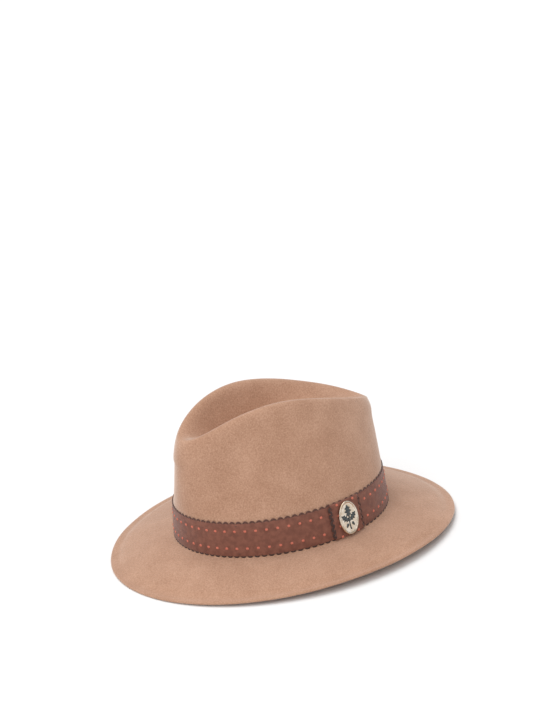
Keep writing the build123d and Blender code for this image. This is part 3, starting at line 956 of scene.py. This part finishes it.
def side_lining(material):
    """Lining of the crown's wall, gathered towards the tip."""
    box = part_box("lining_side")
    turns = full_circle(480)
    low = box[0][2] - FOOT
    out = half_size(box, 1) - FOOT_LENGTH + LEAN_LENGTH * low
    hem = [wall_points(turns, low + height, out) for height in HEM_HEIGHTS]
    length, width = half_size(TIP_BOX, 1) - THIN_CLOTH, half_size(TIP_BOX, 0) - THIN_CLOTH
    top = oval(turns, length, width, TIP_BOX[0][2] - CLEARANCE)
    rows = np.array(hem + [hem[-1] + (top - hem[-1]) * part for part in np.linspace(0.08, 1.0, 12)])
    growth = np.clip(np.linspace(-0.3, 1, len(rows)), 0, 1)[:, None]
    rows -= level_outward(rows) * np.abs(GATHER_DEPTH * np.cos(GATHERS * turns) * growth)[:, :, None]
    inner = rows - level_outward(rows) * THIN_CLOTH
    piece = fix_normals(lattice("side_lining", np.concatenate([rows, inner[::-1]]), True, True))
    place(piece, "lining", material, "lining_side")


def tip_lining(material):
    """Slightly sagging oval under the crease."""
    length, width = half_size(TIP_BOX, 1), half_size(TIP_BOX, 0)
    top = TIP_BOX[0][2] + THIN_CLOTH
    shares = (1.0, 0.97, 0.9, 0.75, 0.55, 0.35, 0.15, 0.001)
    turns = full_circle(480)
    upper = np.array([oval(turns, length * s, width * s, top - TIP_SAG * (1 - s ** 2)) for s in shares])
    lower = upper - (0, 0, THIN_CLOTH)
    piece = fix_normals(lattice("tip_lining", np.concatenate([lower[::-1], upper]), False, True, caps=True))
    place(piece, "lining", material, "lining_tip")


def tip_piping(material):
    """Cord between the tip and the side lining."""
    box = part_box("lining_piping")
    radius = half_size(box, 2)
    path = oval(full_circle(240), half_size(box, 1) - radius, half_size(box, 0) - radius, box[0][2] + radius)
    cord = sweep("tip_piping", path, (0, 0, 1) + 0 * path, radius, radius, closed=True)
    place(cord, "piping", material, "lining_piping")


# ---- Stage, light and camera ----

def camera_axes():
    """Directions to the right of the picture, up it and out of it."""
    ahead = Vector((sin(CAMERA_TURN), -cos(CAMERA_TURN), 0))
    back = ahead * cos(CAMERA_RISE) + Vector((0, 0, sin(CAMERA_RISE)))
    level = Vector((cos(CAMERA_TURN), sin(CAMERA_TURN), 0))
    upright = back.cross(level)
    right = level * cos(CAMERA_ROLL) - upright * sin(CAMERA_ROLL)
    up = level * sin(CAMERA_ROLL) + upright * cos(CAMERA_ROLL)
    return right, up, back


def add_camera():
    right, up, back = camera_axes()
    centre = Vector((0, 0, RIBBON_BOX[0][2]))
    seen = Vector((tan(AIM_TURN), -tan(AIM_RISE), -1)).normalized()
    axes = Matrix((right, up, back)).transposed()
    aim = seen.rotation_difference(Vector((0, 0, -1))).to_matrix()
    camera = bpy.data.objects.new("camera", bpy.data.cameras.new("camera"))
    camera.data.lens = LENS
    camera.data.sensor_width = SENSOR
    camera.matrix_world = Matrix.Translation(centre + back * CAMERA_DISTANCE) @ (axes @ aim).to_4x4()
    bpy.context.collection.objects.link(camera)
    bpy.context.scene.camera = camera


def add_sun(name, from_where, spread, strength):
    """Even light from one side; a wide spread gives soft shadows."""
    light = bpy.data.objects.new(name, bpy.data.lights.new(name, "SUN"))
    light.data.angle = spread
    light.data.energy = strength
    light.rotation_euler = from_where.to_track_quat("Z", "Y").to_euler()
    bpy.context.collection.objects.link(light)


def add_lights():
    right, up, back = camera_axes()
    level = Vector((0, 0, 1))
    add_sun("key", level * 1.5 - right * 0.3 - back * 0.35, radians(50), 1.35)
    add_sun("fill", level * 0.45 - right * 0.35 + back * 1.0, radians(70), 0.9)
    world = bpy.data.worlds.new("studio")
    world.use_nodes = True
    background = world.node_tree.nodes["Background"]
    background.inputs["Color"].default_value = (1.0, 1.0, 1.0, 1)
    background.inputs["Strength"].default_value = 0.55
    bpy.context.scene.world = world
    bpy.context.scene.view_settings.view_transform = "Standard"


def add_floor():
    ends = (-FLOOR_HALF_SIZE, FLOOR_HALF_SIZE)
    floor = lattice("floor", np.array([[(x, y, 0.0) for x in ends] for y in ends]))
    material, tree, shader = new_material("paper")
    finish(shader, Base_Color=(0.93, 0.93, 0.93, 1), Roughness=0.9)
    floor.data.materials.append(material)


def build_hat():
    gold = gold_material()
    enamel = enamel_material()
    coral = thread_material("coral_thread", CORAL)
    picot = thread_material("shaded_picot_thread", PICOT_SHADE_COLOUR)
    brown = thread_material("brown_thread", BROWN_THREAD)
    felt_body(felt_material())
    ribbon_band(ribbon_material("ribbon_weave", False))
    picot_edge("picots_upper", RIBBON_TOP, 1, brown)
    # The lower edge takes the darker copy of the upper edge's thread, as painted shade under the band
    picot_edge("picots_lower", RIBBON_LOW, -1, picot)
    ribbon_dots(coral)
    keeper(ribbon_material("keeper_weave", True))
    keeper_edges(picot, brown)
    keeper_dots(coral)
    badge_plate(gold)
    badge_motif(enamel)
    finish_prongs(gold)
    keeper_seam(picot)
    ribbon_tacks(picot)
    sweatband(leather_material())
    sweatband_seam(thread_material("tan_thread", THREAD_COLOUR))
    sweatband_reed(plastic_material("reed_plastic", REED_COLOUR))
    seam_tape(thread_material("tape_weave", THREAD_COLOUR))
    bow(satin_material("bow_ribbon", RIBBON_COLOUR))
    size_label(thread_material("label_weave", LABEL_COLOUR))
    satin = satin_material("satin_lining", SATIN)
    side_lining(satin)
    tip_lining(satin)
    tip_piping(satin_material("piping_satin", PIPING_COLOUR))


build_hat()
add_floor()
add_lights()
add_camera()
